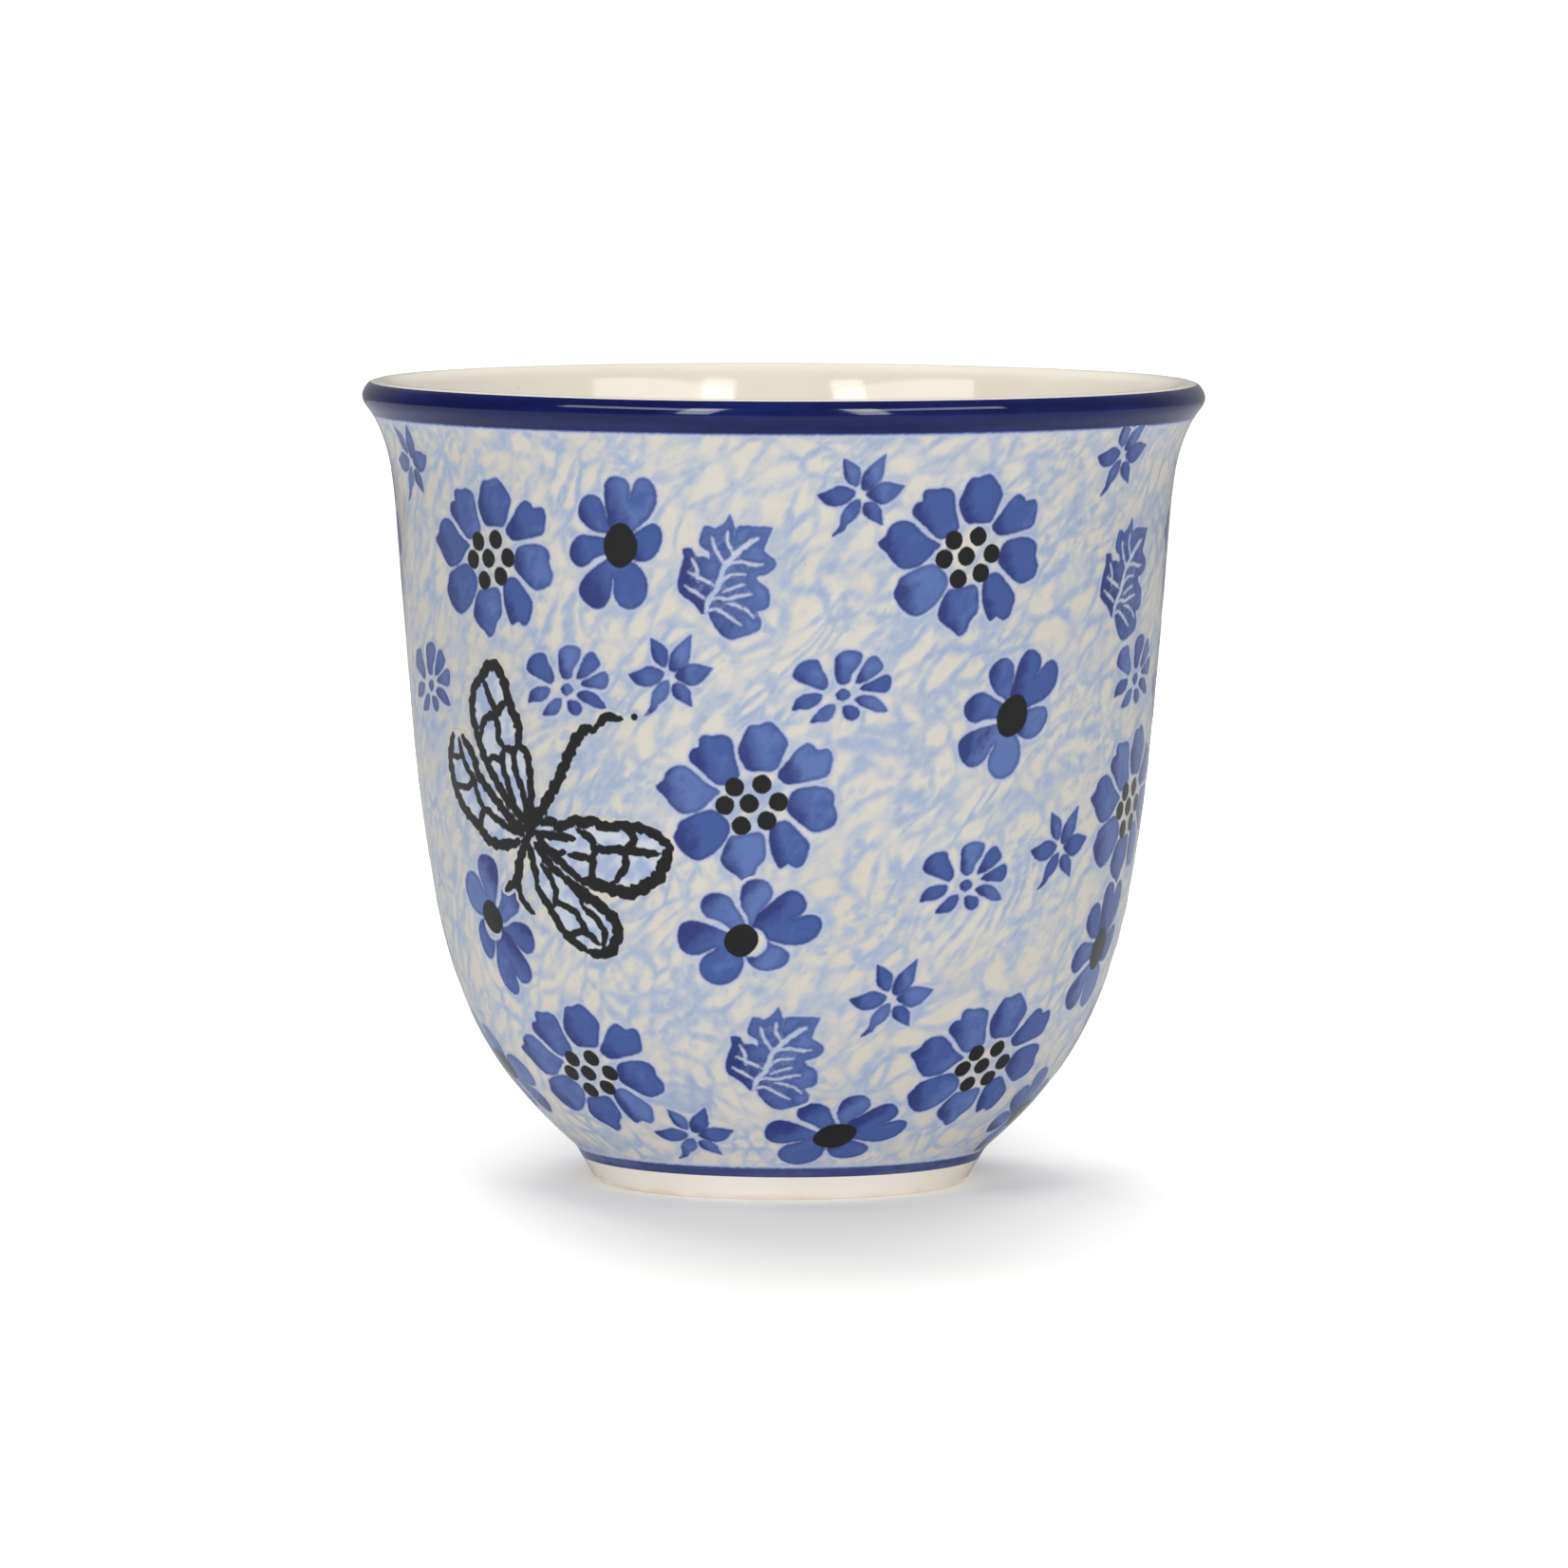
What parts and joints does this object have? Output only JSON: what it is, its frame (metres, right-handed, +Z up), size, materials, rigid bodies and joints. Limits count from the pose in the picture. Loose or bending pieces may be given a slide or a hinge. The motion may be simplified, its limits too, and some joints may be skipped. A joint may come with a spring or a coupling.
{
  "type": "handle-less stoneware mug",
  "caption": "Turned stoneware drinking cup without a handle: rounded belly, flared lip with a cobalt band, decorated blue-and-white glaze and a low foot ring.",
  "frame": {"origin": "centre of the foot's bearing face, on the axis that the cup was turned on", "axes": "+Z up along the turning axis; the dragonfly and the flowers around it face -Y"},
  "size_m": [0.095, 0.095, 0.0905],
  "materials": {
    "bare_clay": "unglazed fired stoneware, matt and slightly gritty",
    "cream_glaze": "clear gloss over cream stoneware",
    "cobalt_glaze": "glossy dark cobalt",
    "decorated_glaze": "clear gloss over pale blue brushwork with stamped cobalt flowers, leaves and a dragonfly",
    "cobalt_line": "glossy brushed cobalt line",
    "foot_cream_glaze": "clear gloss over cream stoneware",
    "base_cream_glaze": "clear gloss over cream stoneware"
  },
  "bodies": {
    "root": {"stoneware_body": "bare_clay", "inner_glaze": "cream_glaze", "rim_band": "cobalt_glaze", "outer_glaze": "decorated_glaze", "foot_line": "cobalt_line", "foot_glaze": "foot_cream_glaze", "base_glaze": "base_cream_glaze"}
  },
  "joints": []
}
